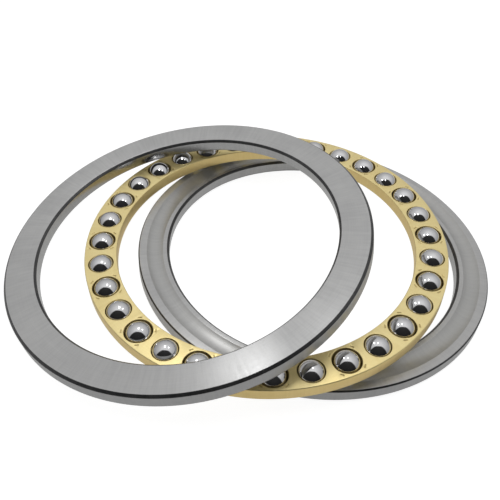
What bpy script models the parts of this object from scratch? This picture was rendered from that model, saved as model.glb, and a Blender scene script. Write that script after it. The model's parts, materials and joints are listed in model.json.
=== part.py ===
"""Single-direction thrust ball bearing, 220 x 270 x 37 mm, with a machined cage.

The four groups of pieces are laid out as they are unpacked on a bench: the housing washer lies flat with
its raceway up, the cage with its balls lies across it, and the shaft washer leans on the balls with its
flat back face up. Metres, +Z up, bench at z = 0, origin under the middle of the layout.
"""
import math

import bmesh
import bpy
from mathutils import Matrix, Vector

# Boundary dimensions of the bearing
SHAFT_WASHER_BORE = 0.2200
SHAFT_WASHER_OUTER = 0.2670
HOUSING_WASHER_BORE = 0.2230
HOUSING_WASHER_OUTER = 0.2700
WASHER_THICKNESS = 0.0110
WASHER_CHAMFER = 0.0017
RUNNING_FACE_CHAMFER = 0.0010

# Balls and the raceway that they roll in
BALL_COUNT = 32
BALL_DIAMETER = 0.01905
PITCH_DIAMETER = 0.2450
RACEWAY_RADIUS = 0.54 * BALL_DIAMETER
RACEWAY_DEPTH = 0.0020

# Cage: a turned ring, bored with blind pockets from alternate sides
CAGE_INNER = 0.2218
CAGE_OUTER = 0.2686
CAGE_THICKNESS = 0.0094
CAGE_CHAMFER = 0.0004
POCKET_DIAMETER = 0.0196
POCKET_LIP_DIAMETER = 0.0182
POCKET_LIP_THICKNESS = 0.0009

# Where the pieces lie: centre, how far each is tilted, and the heading in which it rises
HOUSING_WASHER_PLACE = Vector((0.04583, 0.0138, 0.0))
CAGE_PLACE = Vector((0.00827, 0.00056, 0.02237))
CAGE_TILT = math.radians(4.16)
CAGE_HEADING = math.radians(19.25)
FIRST_POCKET_ANGLE = math.radians(4.38)
SHAFT_WASHER_PLACE = Vector((-0.0503, -0.01564, 0.03837))
SHAFT_WASHER_TILT = math.radians(11.92)
SHAFT_WASHER_HEADING = math.radians(16.78)

# Fineness of the round shapes
WASHER_STEPS = 72
RACEWAY_STEPS = 6
CAGE_STEPS = 64
POCKET_SEGMENTS = 20
BALL_SEGMENTS = 12
BALL_RINGS = 7

CUT_OVERSHOOT = 0.001
MERGE_DISTANCE = 0.00001
SHARP_ANGLE = math.radians(30)

# Colour, roughness and metallic value of each material
WASHER_STEEL = ("washer_steel", (0.42, 0.42, 0.42, 1.0), 0.32, 1.0)
CAGE_BRASS = ("cage_brass", (0.80, 0.56, 0.20, 1.0), 0.35, 1.0)
BALL_STEEL = ("ball_steel", (0.70, 0.70, 0.71, 1.0), 0.06, 1.0)


def clear_scene():
    for old in list(bpy.data.objects):
        bpy.data.objects.remove(old, do_unlink=True)


def new_collection(name, parent):
    collection = bpy.data.collections.new(name)
    parent.children.link(collection)
    return collection


def make_material(name, colour, roughness, metallic):
    material = bpy.data.materials.new(name)
    material.use_nodes = True
    shader = material.node_tree.nodes["Principled BSDF"]
    shader.inputs["Base Color"].default_value = colour
    shader.inputs["Roughness"].default_value = roughness
    shader.inputs["Metallic"].default_value = metallic
    return material


def tilted_frame(centre, tilt, heading):
    """World matrix of a ring whose plane is raised by tilt towards the heading."""
    hinge_line = Vector((math.sin(heading), -math.cos(heading), 0.0))
    return Matrix.Translation(centre) @ Matrix.Rotation(tilt, 4, hinge_line)


def axis_empty(name, collection, matrix):
    """An empty whose local Z is the turning axis of the pieces under it."""
    empty = bpy.data.objects.new(name, None)
    empty.empty_display_type = "SINGLE_ARROW"
    empty.empty_display_size = 0.05
    empty.matrix_world = matrix
    collection.objects.link(empty)
    return empty


def turned_ring(name, outline, steps, material, collection):
    """A closed (radius, height) outline, turned about local Z and shaded smooth between its sharp edges."""
    profile = bpy.data.meshes.new(name + "_profile")
    corners = [(radius, 0.0, height) for radius, height in outline]
    edges = [(i, (i + 1) % len(corners)) for i in range(len(corners))]
    profile.from_pydata(corners, edges, [])
    profile.materials.append(material)
    ring = bpy.data.objects.new(name, profile)
    collection.objects.link(ring)
    screw = ring.modifiers.new("turn", "SCREW")
    screw.axis = "Z"
    screw.angle = math.tau
    screw.steps = steps
    screw.render_steps = steps
    screw.use_merge_vertices = True
    screw.merge_threshold = MERGE_DISTANCE
    depsgraph = bpy.context.evaluated_depsgraph_get()
    turned_mesh = bpy.data.meshes.new_from_object(ring.evaluated_get(depsgraph))
    ring.modifiers.clear()
    ring.data = turned_mesh
    turned_mesh.shade_smooth()
    turned_mesh.set_sharp_from_angle(angle=SHARP_ANGLE)
    return ring


def raceway_arc():
    """Points of the groove across a washer's running face, from its inner to its outer edge."""
    half_angle = math.acos((RACEWAY_RADIUS - RACEWAY_DEPTH) / RACEWAY_RADIUS)
    centre_height = WASHER_THICKNESS - RACEWAY_DEPTH + RACEWAY_RADIUS
    points = []
    for step in range(RACEWAY_STEPS + 1):
        angle = half_angle * (2 * step / RACEWAY_STEPS - 1)
        radius = PITCH_DIAMETER / 2 + RACEWAY_RADIUS * math.sin(angle)
        height = centre_height - RACEWAY_RADIUS * math.cos(angle)
        points.append((radius, height))
    return points


def make_washer(name, bore, outer, parent, material, collection):
    """A washer with its flat back face at local z = 0 and its grooved running face above it."""
    inner_radius = bore / 2
    outer_radius = outer / 2
    chamfer = WASHER_CHAMFER
    rim_chamfer = RUNNING_FACE_CHAMFER
    top = WASHER_THICKNESS
    outline = [(inner_radius + chamfer, top)]
    outline += raceway_arc()
    outline += [
        (outer_radius - rim_chamfer, top),
        (outer_radius, top - rim_chamfer),
        (outer_radius, chamfer),
        (outer_radius - chamfer, 0.0),
        (inner_radius + chamfer, 0.0),
        (inner_radius, chamfer),
        (inner_radius, top - chamfer),
    ]
    washer = turned_ring(name, outline, WASHER_STEPS, material, collection)
    washer.parent = parent
    return washer


def pocket_angle(index):
    return FIRST_POCKET_ANGLE + math.tau * index / BALL_COUNT


def pocket_centre(index):
    angle = pocket_angle(index)
    radius = PITCH_DIAMETER / 2
    return Vector((radius * math.cos(angle), radius * math.sin(angle), 0.0))


def cutter_mesh(name, radius, bottom, top):
    """A closed drill-shaped cylinder from bottom to top along local Z."""
    drill = bmesh.new()
    lift = Matrix.Translation((0.0, 0.0, (bottom + top) / 2))
    bmesh.ops.create_cone(
        drill, cap_ends=True, segments=POCKET_SEGMENTS, radius1=radius, radius2=radius,
        depth=top - bottom, matrix=lift)
    mesh = bpy.data.meshes.new(name)
    drill.to_mesh(mesh)
    drill.free()
    return mesh


def add_pocket_cutters(prefix, mesh, flip_odd, parent, collection):
    """One cutter at each pocket; the odd ones are turned over where the pockets alternate."""
    for index in range(BALL_COUNT):
        cutter = bpy.data.objects.new(f"{prefix}_{index + 1:02d}", mesh)
        cutter.location = pocket_centre(index)
        turned_over = math.pi if flip_odd and index % 2 else 0.0
        cutter.rotation_euler = (turned_over, 0.0, pocket_angle(index))
        cutter.parent = parent
        cutter.hide_render = True
        cutter.display_type = "WIRE"
        collection.objects.link(cutter)


def subtract_collection(target, collection):
    boolean = target.modifiers.new("bore_" + collection.name, "BOOLEAN")
    boolean.operation = "DIFFERENCE"
    boolean.operand_type = "COLLECTION"
    boolean.collection = collection
    boolean.solver = "EXACT"


def make_cage(parent, material, parts, cutters):
    """The brass ring with a stepped pocket for each ball."""
    half = CAGE_THICKNESS / 2
    inner_radius = CAGE_INNER / 2
    outer_radius = CAGE_OUTER / 2
    chamfer = CAGE_CHAMFER
    outline = [
        (inner_radius + chamfer, half),
        (outer_radius - chamfer, half),
        (outer_radius, half - chamfer),
        (outer_radius, chamfer - half),
        (outer_radius - chamfer, -half),
        (inner_radius + chamfer, -half),
        (inner_radius, chamfer - half),
        (inner_radius, half - chamfer),
    ]
    cage = turned_ring("cage", outline, CAGE_STEPS, material, parts)
    cage.parent = parent

    bores = new_collection("pocket_bores", cutters)
    lips = new_collection("pocket_lips", cutters)
    lip_top = POCKET_LIP_THICKNESS - half
    bore_mesh = cutter_mesh("pocket_bore", POCKET_DIAMETER / 2, lip_top, half + CUT_OVERSHOOT)
    lip_reach = half + CUT_OVERSHOOT
    lip_mesh = cutter_mesh("pocket_lip", POCKET_LIP_DIAMETER / 2, -lip_reach, lip_reach)
    add_pocket_cutters("bore", bore_mesh, True, parent, bores)
    add_pocket_cutters("lip", lip_mesh, False, parent, lips)
    subtract_collection(cage, bores)
    subtract_collection(cage, lips)
    return cage


def make_balls(parent, material, collection):
    """Each ball's local Z is the radial line of its pocket, which is the axis that it rolls about."""
    sphere = bmesh.new()
    bmesh.ops.create_uvsphere(
        sphere, u_segments=BALL_SEGMENTS, v_segments=BALL_RINGS, radius=BALL_DIAMETER / 2)
    mesh = bpy.data.meshes.new("ball")
    sphere.to_mesh(mesh)
    sphere.free()
    mesh.materials.append(material)
    mesh.shade_smooth()
    for index in range(BALL_COUNT):
        ball = bpy.data.objects.new(f"ball_{index + 1:02d}", mesh)
        ball.location = pocket_centre(index)
        ball.rotation_euler = (0.0, math.pi / 2, pocket_angle(index))
        ball.parent = parent
        collection.objects.link(ball)


def main():
    clear_scene()
    parts = new_collection("thrust_ball_bearing", bpy.context.scene.collection)
    cutters = new_collection("cutters", bpy.context.scene.collection)
    washer_steel = make_material(*WASHER_STEEL)
    cage_brass = make_material(*CAGE_BRASS)
    ball_steel = make_material(*BALL_STEEL)

    housing_axis = axis_empty("housing_washer_axis", parts, Matrix.Translation(HOUSING_WASHER_PLACE))
    make_washer("housing_washer", HOUSING_WASHER_BORE, HOUSING_WASHER_OUTER,
                housing_axis, washer_steel, parts)

    cage_frame = tilted_frame(CAGE_PLACE, CAGE_TILT, CAGE_HEADING)
    cage_axis = axis_empty("cage_axis", parts, cage_frame)
    make_cage(cage_axis, cage_brass, parts, cutters)
    make_balls(cage_axis, ball_steel, parts)

    back_face_up = Matrix.Rotation(math.pi, 4, "X")
    shaft_frame = tilted_frame(SHAFT_WASHER_PLACE, SHAFT_WASHER_TILT, SHAFT_WASHER_HEADING)
    shaft_axis = axis_empty("shaft_washer_axis", parts, shaft_frame @ back_face_up)
    make_washer("shaft_washer", SHAFT_WASHER_BORE, SHAFT_WASHER_OUTER,
                shaft_axis, washer_steel, parts)


main()
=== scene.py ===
"""Finished look of a thrust ball bearing: ground steel washers, a machined brass cage and polished balls.

Each finished piece is built at the place that the frame gives its body, rides on that body, and hides its
plain solid. All lengths are in metres.
"""
import json
import math

import bmesh
import bpy
from mathutils import Matrix, Vector

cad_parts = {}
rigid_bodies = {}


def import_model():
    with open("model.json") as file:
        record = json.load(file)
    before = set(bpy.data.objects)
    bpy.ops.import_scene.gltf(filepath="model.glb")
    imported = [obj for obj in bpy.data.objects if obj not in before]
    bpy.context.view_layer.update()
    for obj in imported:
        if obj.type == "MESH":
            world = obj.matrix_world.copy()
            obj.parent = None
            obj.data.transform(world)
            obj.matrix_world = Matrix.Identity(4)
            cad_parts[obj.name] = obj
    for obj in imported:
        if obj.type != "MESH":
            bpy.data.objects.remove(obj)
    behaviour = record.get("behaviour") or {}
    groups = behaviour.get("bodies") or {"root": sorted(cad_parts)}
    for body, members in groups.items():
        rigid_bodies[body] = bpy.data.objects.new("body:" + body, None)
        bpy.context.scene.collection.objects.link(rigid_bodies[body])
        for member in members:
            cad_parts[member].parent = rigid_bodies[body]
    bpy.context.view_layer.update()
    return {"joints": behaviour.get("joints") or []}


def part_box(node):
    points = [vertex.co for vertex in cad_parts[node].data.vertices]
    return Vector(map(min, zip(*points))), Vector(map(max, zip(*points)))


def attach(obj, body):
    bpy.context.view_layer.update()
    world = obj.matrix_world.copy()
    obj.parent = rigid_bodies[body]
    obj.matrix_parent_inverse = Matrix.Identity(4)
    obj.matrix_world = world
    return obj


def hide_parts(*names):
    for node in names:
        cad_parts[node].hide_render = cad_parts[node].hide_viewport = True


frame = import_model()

# Dimensions of the real pieces
HOUSING_BORE, HOUSING_OUTER = 0.2230, 0.2700
SHAFT_BORE, SHAFT_OUTER = 0.2200, 0.2670
WASHER_THICKNESS = 0.0110
WASHER_CHAMFER = 0.0017
RUNNING_FACE_CHAMFER = 0.0010
PITCH_RADIUS = 0.1225
BALL_RADIUS = 0.009525
BALL_COUNT = 32
RACEWAY_RADIUS = 0.54 * 2 * BALL_RADIUS
RACEWAY_DEPTH = 0.0020
CAGE_INNER, CAGE_OUTER = 0.2218, 0.2686
CAGE_THICKNESS = 0.0094
CAGE_CHAMFER = 0.0004
POCKET_RADIUS = 0.0098
LIP_RADIUS = 0.0091
LIP_THICKNESS = 0.0009

# Fine edges that only the finished pieces have
WASHER_EDGE_ROUND = 0.00022
CAGE_EDGE_ROUND = 0.00012
POCKET_CHAMFER = 0.00018

# How far the pocket drill reaches past the cage's faces
DRILL_OVERSHOOT = 0.001

# Stake marks round the open side of each pocket. The chisel's edge and shank are given as shares of a mark's
# width and length.
STAKES_PER_POCKET = 4
STAKE_DISTANCE = 0.0115
STAKE_LENGTH, STAKE_WIDTH, STAKE_DEPTH = 0.0030, 0.0010, 0.00028
CHISEL_EDGE, CHISEL_SHANK = (0.25, 0.72), (1.9, 1.35)
CHISEL_ROUND = 0.00012

# Fineness of the round shapes
RING_STEPS = 288
GROOVE_STEPS = 18
WASHER_EDGE_STEPS = 3
CAGE_EDGE_STEPS = 2
POCKET_STEPS = 48
BALL_CUTS = 18
SHARP_ANGLE = math.radians(28)

# Material slots of a washer and of the cage
GROUND, RACEWAY, EDGE, BORE = 0, 1, 2, 3
FACE, BORED, STAKED, WALL = 0, 1, 2, 3

# Finish of turned and ground metal: frequencies of the marks, how much each counts, the range of noise that
# is used, the quarter turn that spreads gloss across the marks, and the height of the grain
RINGS_AROUND = 2.0
# The rays are radial streaks: in the roughness they are real, and in the colour their lighter and darker
# bands are painted sheen.
RAYS_AROUND, RAYS_ACROSS = 60.0, 40.0
CLOUD_SCALE = 28.0
RINGS_SHARE, RAYS_SHARE, CLOUDS_SHARE = 0.28, 0.32, 0.40
NOISE_LOW, NOISE_HIGH = 0.4, 0.6
GLOSS_TURN = 0.25
FINE_GRAIN, COARSE_GRAIN = 0.00004, 0.00006

# Frequency of the faint haze on the balls
HAZE_SCALE = 260.0

# The light tent's dark mouth: slopes of its top and sides, height of its sill, and how soft each edge is
MOUTH_TOP, MOUTH_SIDE, MOUTH_SILL = 0.16, 0.38, -0.05
TOP_EDGE, SIDE_EDGE, SILL_SOFTNESS = (-0.03, 0.05), (-0.04, 0.06), 0.06

# Glow of the tent's parts, and the heights between which the walls and the ceiling brighten
MOUTH_GLOW, WALL_GLOW, SLOPE_GLOW, CEILING_GLOW = 0.04, 0.46, 0.77, 0.25
SLOPE_HEIGHTS, CEILING_HEIGHTS = (0.15, 0.75), (0.72, 1.0)
BACKDROP_SEEN = 0.97
FLOOR_SEEN, FLOOR_GLOW = 0.93, 0.42
FLOOR_HALF_WIDTH = 4.0
FLOOR_DROP = 0.0002

# Two small strip lights in the tent's ceiling: place, size and power of each
STRIP_LIGHTS = {
    "strip_left": ((-0.095, 0.013, 0.33), (0.050, 0.075), 0.12),
    "strip_right": ((0.070, -0.010, 0.33), (0.030, 0.045), 0.035),
}

# Camera
CAMERA_PLACE = (-0.00509, -0.36335, 0.35482)
CAMERA_DOWN, CAMERA_ROLL = math.radians(42.46), math.radians(4.90)
CAMERA_LENS, CAMERA_SENSOR = 46.906, 36.0
CAMERA_SHIFT = (0.0042, -0.0173)


# ---------------------------------------------------------------- frame

def joint(name):
    return next(j for j in frame["joints"] if j["name"] == name)


def axis_frame(name):
    """Matrix of a joint: origin on its axis, local Z along it."""
    hinge = joint(name)
    turn = Vector(hinge["axis"]).to_track_quat("Z", "Y").to_matrix().to_4x4()
    return Matrix.Translation(Vector(hinge["pos_m"])) @ turn


def radial_frame(centre, up, out):
    """Matrix at centre with Z along up and X along the part of out that is square to it."""
    z = up.normalized()
    x = (out - out.dot(z) * z).normalized()
    y = z.cross(x)
    turn = Matrix((x, y, z)).transposed().to_4x4()
    return Matrix.Translation(centre) @ turn


# ---------------------------------------------------------------- meshes

def rounded(outline, radius, steps):
    """The closed outline with each corner that is marked True turned into a short curve."""
    points = []
    count = len(outline)
    for i, (x, z, surface, soften) in enumerate(outline):
        here = Vector((x, z))
        if not soften:
            points.append((x, z, surface))
            continue
        before = Vector(outline[i - 1][:2])
        after = Vector(outline[(i + 1) % count][:2])
        start = here + (before - here).normalized() * radius
        end = here + (after - here).normalized() * radius
        previous_surface = outline[i - 1][2]
        for k in range(steps + 1):
            t = k / steps
            p = start * (1 - t) ** 2 + here * 2 * t * (1 - t) + end * t ** 2
            points.append((p.x, p.y, surface if k == steps else previous_surface))
    return points


def turned(name, outline, steps, closed=True):
    """Mesh of (radius, height, surface) points turned about Z; surface is the slot after each point."""
    mesh = bpy.data.meshes.new(name)
    bm = bmesh.new()
    rows = []
    for i in range(steps):
        angle = math.tau * i / steps
        c, s = math.cos(angle), math.sin(angle)
        rows.append([bm.verts.new((r * c, r * s, z)) for r, z, _ in outline])
    count = len(outline)
    last = count if closed else count - 1
    for i in range(steps):
        a, b = rows[i], rows[(i + 1) % steps]
        for j in range(last):
            k = (j + 1) % count
            face = bm.faces.new((a[j], a[k], b[k], b[j]))
            face.material_index = outline[j][2]
            face.smooth = True
    if not closed:
        bm.faces.new([row[0] for row in reversed(rows)])
        bm.faces.new([row[-1] for row in rows])
    bmesh.ops.recalc_face_normals(bm, faces=bm.faces)
    bm.to_mesh(mesh)
    bm.free()
    return mesh


def add_piece(name, mesh, matrix, materials):
    piece = bpy.data.objects.new(name, mesh)
    bpy.context.scene.collection.objects.link(piece)
    piece.matrix_world = matrix
    for material in materials:
        mesh.materials.append(material)
    return piece


def washer_outline(bore, outer):
    """Profile with the flat back face at z = 0 and the grooved running face above it."""
    ri, ro, c, t = bore / 2, outer / 2, WASHER_CHAMFER, WASHER_THICKNESS
    rim = RUNNING_FACE_CHAMFER
    half = math.acos((RACEWAY_RADIUS - RACEWAY_DEPTH) / RACEWAY_RADIUS)
    lift = t - RACEWAY_DEPTH + RACEWAY_RADIUS
    outline = [(ri + c, t, GROUND, True)]
    for k in range(GROOVE_STEPS + 1):
        angle = half * (2 * k / GROOVE_STEPS - 1)
        radius = PITCH_RADIUS + RACEWAY_RADIUS * math.sin(angle)
        height = lift - RACEWAY_RADIUS * math.cos(angle)
        at_edge = k in (0, GROOVE_STEPS)
        outline.append((radius, height, GROUND if k == GROOVE_STEPS else RACEWAY, at_edge))
    outline += [
        (ro - rim, t, EDGE, True),
        (ro, t - rim, GROUND, True),
        (ro, c, EDGE, True),
        (ro - c, 0.0, GROUND, True),
        (ri + c, 0.0, EDGE, True),
        (ri, c, BORE, True),
        (ri, t - c, EDGE, True),
    ]
    return rounded(outline, WASHER_EDGE_ROUND, WASHER_EDGE_STEPS)


def settle(piece):
    """Moves a piece's place into its mesh, and keeps each point's place on the piece for its material."""
    mesh = piece.data
    place = mesh.attributes.new("place", "FLOAT_VECTOR", "POINT")
    place.data.foreach_set("vector", [c for v in mesh.vertices for c in v.co])
    tangents = mesh.uv_layers.new(name="around")
    for loop in mesh.loops:
        co = mesh.vertices[loop.vertex_index].co
        tangents.data[loop.index].uv = (math.atan2(co.y, co.x) / math.tau, math.hypot(co.x, co.y) + co.z)
    mesh.transform(piece.matrix_world)
    piece.matrix_world = Matrix.Identity(4)


def make_washer(name, node, bore, outer, matrix, materials):
    mesh = turned(name, washer_outline(bore, outer), RING_STEPS)
    mesh.set_sharp_from_angle(angle=SHARP_ANGLE)
    piece = add_piece(name, mesh, matrix, materials)
    settle(piece)
    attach(piece, node)
    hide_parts(node)


# ---------------------------------------------------------------- cage

def pocket_cutter():
    """A stepped drill: through the lip, then the wide bore, with a small flare at each face."""
    half = CAGE_THICKNESS / 2
    flare, clear = POCKET_CHAMFER, DRILL_OVERSHOOT
    lip_top = LIP_THICKNESS - half
    outline = [
        (LIP_RADIUS + flare + clear, -half - clear, BORED),
        (LIP_RADIUS, flare - half, BORED),
        (LIP_RADIUS, lip_top, BORED),
        (POCKET_RADIUS, lip_top, BORED),
        (POCKET_RADIUS, half - flare, BORED),
        (POCKET_RADIUS + flare + clear, half + clear, BORED),
    ]
    return turned("pocket_cutter", outline, POCKET_STEPS, closed=False)


def stake_cutter():
    """A blunt chisel whose edge leaves one stake mark."""
    mesh = bpy.data.meshes.new("stake_cutter")
    bm = bmesh.new()
    bmesh.ops.create_cube(bm, size=1.0)
    for v in bm.verts:
        low = v.co.z < 0
        width, length = CHISEL_EDGE if low else CHISEL_SHANK
        v.co.x *= STAKE_WIDTH * width
        v.co.y *= STAKE_LENGTH * length
        v.co.z = -STAKE_DEPTH if low else STAKE_DEPTH
    bmesh.ops.bevel(bm, geom=bm.edges[:], offset=CHISEL_ROUND, segments=2, affect="EDGES")
    for f in bm.faces:
        f.material_index = STAKED
    bm.to_mesh(mesh)
    bm.free()
    return mesh


def add_cutter(mesh, matrix, collection):
    cutter = bpy.data.objects.new(mesh.name, mesh)
    collection.objects.link(cutter)
    cutter.matrix_world = matrix


def make_cage(matrix, pocket_frames, materials):
    """The brass ring; every second pocket is bored and staked from the other side."""
    half = CAGE_THICKNESS / 2
    ri, ro, c = CAGE_INNER / 2, CAGE_OUTER / 2, CAGE_CHAMFER
    outline = [
        (ri + c, half, FACE, True),
        (ro - c, half, FACE, True),
        (ro, half - c, WALL, True),
        (ro, c - half, FACE, True),
        (ro - c, -half, FACE, True),
        (ri + c, -half, FACE, True),
        (ri, c - half, WALL, True),
        (ri, half - c, FACE, True),
    ]
    mesh = turned("cage_finished", rounded(outline, CAGE_EDGE_ROUND, CAGE_EDGE_STEPS), RING_STEPS)
    cage = add_piece("cage_finished", mesh, matrix, materials)

    cutters = bpy.data.collections.new("cutters")
    drill, chisel = pocket_cutter(), stake_cutter()
    for index, place in enumerate(pocket_frames):
        side = Matrix.Rotation(math.pi, 4, "X") if index % 2 else Matrix.Identity(4)
        add_cutter(drill, place @ side, cutters)
        for stake in range(STAKES_PER_POCKET):
            turn = Matrix.Rotation(math.tau * (stake + 0.5) / STAKES_PER_POCKET, 4, "Z")
            out = Matrix.Translation((STAKE_DISTANCE, 0, half))
            add_cutter(chisel, place @ side @ turn @ out, cutters)
    bpy.context.view_layer.update()
    boolean = cage.modifiers.new("pockets", "BOOLEAN")
    boolean.operation = "DIFFERENCE"
    boolean.operand_type = "COLLECTION"
    boolean.collection = cutters
    boolean.solver = "EXACT"
    boolean.material_mode = "INDEX"
    graph = bpy.context.evaluated_depsgraph_get()
    cut = bpy.data.meshes.new_from_object(cage.evaluated_get(graph))
    cage.modifiers.clear()
    cage.data = cut
    cut.shade_smooth()
    cut.set_sharp_from_angle(angle=SHARP_ANGLE)
    for cutter in list(cutters.objects):
        bpy.data.objects.remove(cutter, do_unlink=True)
    bpy.data.collections.remove(cutters)
    settle(cage)
    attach(cage, "cage")
    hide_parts("cage")


# ---------------------------------------------------------------- balls

def ball_mesh():
    """A cube sphere, so that its faces are even all over and its reflections have no poles."""
    mesh = bpy.data.meshes.new("ball_finished")
    bm = bmesh.new()
    bmesh.ops.create_cube(bm, size=2.0)
    bmesh.ops.subdivide_edges(bm, edges=bm.edges[:], cuts=BALL_CUTS, use_grid_fill=True)
    for v in bm.verts:
        spread = Vector([math.tan(a * math.pi / 4) for a in v.co])
        v.co = spread.normalized() * BALL_RADIUS
    for f in bm.faces:
        f.smooth = True
    bm.to_mesh(mesh)
    bm.free()
    return mesh


def make_balls(material):
    mesh = ball_mesh()
    mesh.materials.append(material)
    for index in range(BALL_COUNT):
        node = f"ball_{index + 1:02d}"
        ball = bpy.data.objects.new(node + "_finished", mesh)
        bpy.context.scene.collection.objects.link(ball)
        ball.location = joint(node + "_spin")["pos_m"]
        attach(ball, node)
        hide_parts(node)


# ---------------------------------------------------------------- materials

def new_material(name, **constants):
    """A new material, its node tree and its shader; each constant sets the shader's input of that name."""
    material = bpy.data.materials.new(name)
    material.use_nodes = True
    shader = material.node_tree.nodes["Principled BSDF"]
    for socket, value in constants.items():
        shader.inputs[socket.replace("_", " ")].default_value = value
    return material, material.node_tree, shader


def add_node(tree, kind, **settings):
    node = tree.nodes.new("ShaderNode" + kind)
    for key, value in settings.items():
        setattr(node, key, value)
    return node


def math_node(tree, operation, a, b=None):
    node = add_node(tree, "Math", operation=operation)
    for socket, value in zip(node.inputs, (a, b)):
        if isinstance(value, (int, float)):
            socket.default_value = value
        elif value is not None:
            tree.links.new(value, socket)
    return node.outputs[0]


def polar_coordinates(tree, around, across):
    """Texture coordinates round the ring's axis and across its radius, with a frequency for each."""
    place = piece_place(tree)
    parts = add_node(tree, "SeparateXYZ")
    tree.links.new(place, parts.inputs[0])
    x, y, z = parts.outputs
    flat = add_node(tree, "CombineXYZ")
    tree.links.new(x, flat.inputs[0])
    tree.links.new(y, flat.inputs[1])
    radius = add_node(tree, "VectorMath", operation="LENGTH")
    tree.links.new(flat.outputs[0], radius.inputs[0])
    heading = add_node(tree, "VectorMath", operation="NORMALIZE")
    tree.links.new(flat.outputs[0], heading.inputs[0])
    split = add_node(tree, "SeparateXYZ")
    tree.links.new(heading.outputs[0], split.inputs[0])
    depth = math_node(tree, "ADD", radius.outputs["Value"], z)
    polar = add_node(tree, "CombineXYZ")
    tree.links.new(math_node(tree, "MULTIPLY", split.outputs[0], around), polar.inputs[0])
    tree.links.new(math_node(tree, "MULTIPLY", split.outputs[1], around), polar.inputs[1])
    tree.links.new(math_node(tree, "MULTIPLY", depth, across), polar.inputs[2])
    return polar.outputs[0]


def noise(tree, vector, scale, detail, rough=0.55):
    node = add_node(tree, "TexNoise")
    node.inputs["Scale"].default_value = scale
    node.inputs["Detail"].default_value = detail
    node.inputs["Roughness"].default_value = rough
    tree.links.new(vector, node.inputs["Vector"])
    return node.outputs["Fac"]


def ranged(tree, value, low, high, from_low=NOISE_LOW, from_high=NOISE_HIGH):
    node = add_node(tree, "MapRange")
    tree.links.new(value, node.inputs["Value"])
    node.inputs["From Min"].default_value = from_low
    node.inputs["From Max"].default_value = from_high
    node.inputs["To Min"].default_value = low
    node.inputs["To Max"].default_value = high
    return node.outputs["Result"]


def blended(tree, value, dark, light):
    ramp = add_node(tree, "ValToRGB")
    ramp.color_ramp.elements[0].position = NOISE_LOW
    ramp.color_ramp.elements[0].color = (*dark, 1.0)
    ramp.color_ramp.elements[1].position = NOISE_HIGH
    ramp.color_ramp.elements[1].color = (*light, 1.0)
    tree.links.new(value, ramp.inputs["Fac"])
    return ramp.outputs["Color"]


def bump(tree, shader, height, distance):
    node = add_node(tree, "Bump")
    node.inputs["Distance"].default_value = distance
    tree.links.new(height, node.inputs["Height"])
    tree.links.new(node.outputs["Normal"], shader.inputs["Normal"])


def piece_place(tree):
    """Each point's place on its ring, in the ring's own axes."""
    return add_node(tree, "Attribute", attribute_name="place").outputs["Vector"]


def weighted(tree, *parts):
    """Sum of (value, weight) pairs."""
    total = None
    for value, weight in parts:
        part = math_node(tree, "MULTIPLY", value, weight)
        total = part if total is None else math_node(tree, "ADD", total, part)
    return total


def turned_metal(name, dark, light, rough, marks, grain=FINE_GRAIN, anisotropy=0.0, metallic=1.0):
    """Metal cut or ground on a lathe: fine rings, faint rays across them, and slow cloudy changes. The rays
    are real in the roughness and painted sheen in the colour.
    """
    material, tree, shader = new_material(
        name, Metallic=metallic, Anisotropic=anisotropy, Anisotropic_Rotation=GLOSS_TURN)
    if anisotropy:
        tangent = add_node(tree, "Tangent", direction_type="UV_MAP", uv_map="around")
        tree.links.new(tangent.outputs[0], shader.inputs["Tangent"])
    rings = noise(tree, polar_coordinates(tree, RINGS_AROUND, marks), 1.0, 4.0, 0.7)
    rays = noise(tree, polar_coordinates(tree, RAYS_AROUND, RAYS_ACROSS), 1.0, 3.0, 0.6)
    clouds = noise(tree, piece_place(tree), CLOUD_SCALE, 4.0)
    mixed = weighted(tree, (rings, RINGS_SHARE), (rays, RAYS_SHARE), (clouds, CLOUDS_SHARE))
    tree.links.new(blended(tree, mixed, dark, light), shader.inputs["Base Color"])
    tree.links.new(ranged(tree, mixed, rough[0], rough[1]), shader.inputs["Roughness"])
    bump(tree, shader, rings, grain)
    return material


def washer_materials():
    """Materials in the order of a washer's slots."""
    ground = turned_metal(
        "washer_ground", dark=(0.46, 0.46, 0.46), light=(0.56, 0.56, 0.555),
        rough=(0.29, 0.41), marks=2600.0, anisotropy=0.75, metallic=0.72)
    raceway = turned_metal(
        "washer_raceway", dark=(0.46, 0.46, 0.455), light=(0.53, 0.53, 0.52),
        rough=(0.34, 0.42), marks=3600.0, anisotropy=0.8, metallic=0.72)
    # The near-black colour of the chamfers is painted shade: the chamfers are the same steel as the faces,
    # and the dark line they show is shade.
    edge = turned_metal(
        "washer_edge_painted_shade", dark=(0.045, 0.045, 0.047), light=(0.085, 0.085, 0.085),
        rough=(0.30, 0.42), marks=1800.0, metallic=0.5)
    bore = turned_metal(
        "washer_bore", dark=(0.42, 0.42, 0.415), light=(0.50, 0.50, 0.495),
        rough=(0.14, 0.22), marks=2600.0, anisotropy=0.3)
    return ground, raceway, edge, bore


def cage_materials():
    """Materials in the order of the cage's slots."""
    face = turned_metal(
        "cage_brass_face", dark=(0.86, 0.70, 0.32), light=(0.94, 0.80, 0.41),
        rough=(0.34, 0.46), marks=1500.0, grain=COARSE_GRAIN, metallic=0.8)
    bored = turned_metal(
        "cage_brass_bore", dark=(0.88, 0.70, 0.32), light=(0.95, 0.78, 0.39),
        rough=(0.34, 0.48), marks=900.0)
    # The darker colour of the stake marks is painted shade in their dents; the dents themselves are cut into
    # the mesh.
    staked = turned_metal(
        "cage_brass_stake_painted_shade", dark=(0.58, 0.46, 0.20), light=(0.70, 0.57, 0.27),
        rough=(0.40, 0.52), marks=900.0)
    # The side walls are the same brass as the faces; their darker, deeper yellow colour is painted shade.
    wall = turned_metal(
        "cage_brass_wall_painted_shade", dark=(0.84, 0.64, 0.27), light=(0.92, 0.73, 0.34),
        rough=(0.34, 0.46), marks=1500.0)
    return face, bored, staked, wall


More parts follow.
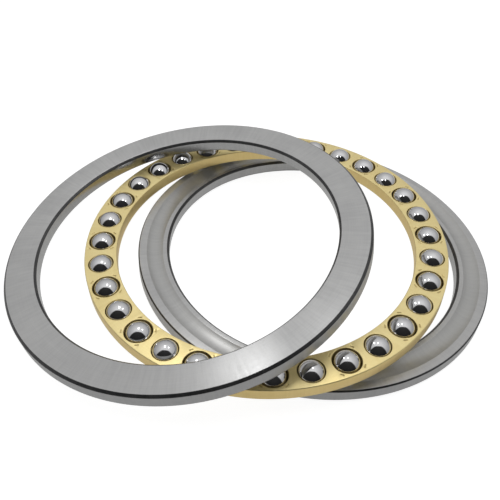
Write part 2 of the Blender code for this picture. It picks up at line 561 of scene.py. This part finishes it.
def ball_polished():
    material, tree, shader = new_material("ball_polished", Metallic=1.0)
    haze = noise(tree, add_node(tree, "TexCoord").outputs["Object"], HAZE_SCALE, 3.0)
    colour = blended(tree, haze, (0.60, 0.60, 0.61), (0.64, 0.64, 0.65))
    tree.links.new(colour, shader.inputs["Base Color"])
    tree.links.new(ranged(tree, haze, 0.06, 0.10), shader.inputs["Roughness"])
    return material


# ---------------------------------------------------------------- stage

def seen_or_lit(tree, seen, lit):
    """One strength for what the camera sees, and another for the light that the surface gives."""
    mix = add_node(tree, "Mix", data_type="FLOAT")
    tree.links.new(add_node(tree, "LightPath").outputs["Is Camera Ray"], mix.inputs[0])
    for socket, value in ((mix.inputs[2], lit), (mix.inputs[3], seen)):
        if isinstance(value, float):
            socket.default_value = value
        else:
            tree.links.new(value, socket)
    return mix.outputs[0]


def make_floor():
    mesh = bpy.data.meshes.new("floor")
    bm = bmesh.new()
    bmesh.ops.create_grid(bm, x_segments=1, y_segments=1, size=FLOOR_HALF_WIDTH)
    bm.to_mesh(mesh)
    bm.free()
    floor = bpy.data.objects.new("floor", mesh)
    bpy.context.scene.collection.objects.link(floor)
    floor.location.z = -FLOOR_DROP
    material, tree, shader = new_material("floor_white", Roughness=0.9)
    tree.links.new(seen_or_lit(tree, FLOOR_SEEN, FLOOR_GLOW), shader.inputs["Emission Strength"])
    shader.inputs["Base Color"].default_value = (0.30, 0.30, 0.30, 1.0)
    shader.inputs["Emission Color"].default_value = (1.0, 1.0, 1.0, 1.0)
    mesh.materials.append(material)


def add_light(name, place, size, power):
    """A rectangular lamp that shines straight down and isn't seen itself."""
    light = bpy.data.lights.new(name, "AREA")
    light.shape = "RECTANGLE"
    light.size, light.size_y = size
    light.energy = power
    lamp = bpy.data.objects.new(name, light)
    bpy.context.scene.collection.objects.link(lamp)
    lamp.location = place
    lamp.visible_camera = False


def soft_step(tree, value, start, end):
    node = add_node(tree, "MapRange", interpolation_type="SMOOTHSTEP")
    tree.links.new(value, node.inputs["Value"])
    node.inputs["From Min"].default_value = start
    node.inputs["From Max"].default_value = end
    return node.outputs["Result"]


def make_world():
    """A pale tent, lighter overhead, with a dark mouth at the front."""
    world = bpy.data.worlds.new("tent")
    world.use_nodes = True
    tree = world.node_tree
    background = tree.nodes["Background"]
    split = add_node(tree, "SeparateXYZ")
    tree.links.new(add_node(tree, "TexCoord").outputs["Generated"], split.inputs[0])
    x, y, z = split.outputs
    front = math_node(tree, "MULTIPLY", y, -1.0)
    below_ceiling = math_node(tree, "SUBTRACT", front, math_node(tree, "MULTIPLY", z, MOUTH_TOP))
    sideways = math_node(tree, "MULTIPLY", math_node(tree, "ABSOLUTE", x), MOUTH_SIDE)
    between_walls = math_node(tree, "SUBTRACT", front, sideways)
    under_top = soft_step(tree, below_ceiling, *TOP_EDGE)
    inside = math_node(tree, "MULTIPLY", under_top, soft_step(tree, between_walls, *SIDE_EDGE))
    over_sill = soft_step(tree, z, MOUTH_SILL, MOUTH_SILL + SILL_SOFTNESS)
    mouth = math_node(tree, "MULTIPLY", inside, over_sill)
    walls = ranged(tree, z, WALL_GLOW, SLOPE_GLOW, *SLOPE_HEIGHTS)
    ceiling = math_node(tree, "MULTIPLY", soft_step(tree, z, *CEILING_HEIGHTS), CEILING_GLOW)
    tent = math_node(tree, "ADD", walls, ceiling)
    lit = math_node(tree, "MULTIPLY", tent, ranged(tree, mouth, 1.0, MOUTH_GLOW, 0.0, 1.0))
    tree.links.new(seen_or_lit(tree, BACKDROP_SEEN, lit), background.inputs["Strength"])
    background.inputs["Color"].default_value = (1.0, 1.0, 1.0, 1.0)
    bpy.context.scene.world = world


def make_lights():
    for name, (place, size, power) in STRIP_LIGHTS.items():
        add_light(name, place, size, power)


def make_camera():
    camera = bpy.data.cameras.new("camera")
    camera.sensor_width = CAMERA_SENSOR
    camera.lens = CAMERA_LENS
    camera.shift_x, camera.shift_y = CAMERA_SHIFT
    camera.clip_start = 0.01
    camera.clip_end = 50.0
    view = bpy.data.objects.new("camera", camera)
    bpy.context.scene.collection.objects.link(view)
    look = Matrix.Rotation(math.pi / 2 - CAMERA_DOWN, 4, "X") @ Matrix.Rotation(CAMERA_ROLL, 4, "Z")
    view.matrix_world = Matrix.Translation(CAMERA_PLACE) @ look
    bpy.context.scene.camera = view


# ---------------------------------------------------------------- build

def main():
    washer_slots = washer_materials()
    low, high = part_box("housing_washer")
    seat = Vector(((low.x + high.x) / 2, (low.y + high.y) / 2, low.z))
    make_washer("housing_washer_finished", "housing_washer", HOUSING_BORE, HOUSING_OUTER,
                Matrix.Translation(seat), washer_slots)

    turned_over = Matrix.Rotation(math.pi, 4, "X")
    make_washer("shaft_washer_finished", "shaft_washer", SHAFT_BORE, SHAFT_OUTER,
                axis_frame("shaft_washer_spin") @ turned_over, washer_slots)

    up = Vector(joint("cage_spin")["axis"])
    centre = Vector(joint("cage_spin")["pos_m"])
    pockets = []
    for index in range(BALL_COUNT):
        place = Vector(joint(f"ball_{index + 1:02d}_spin")["pos_m"])
        pockets.append(radial_frame(place, up, place - centre))
    cage_place = radial_frame(centre, up, Vector(joint("ball_01_spin")["pos_m"]) - centre)
    make_cage(cage_place, pockets, cage_materials())
    make_balls(ball_polished())

    make_floor()
    make_world()
    make_lights()
    make_camera()
    bpy.context.scene.view_settings.view_transform = "Standard"


main()
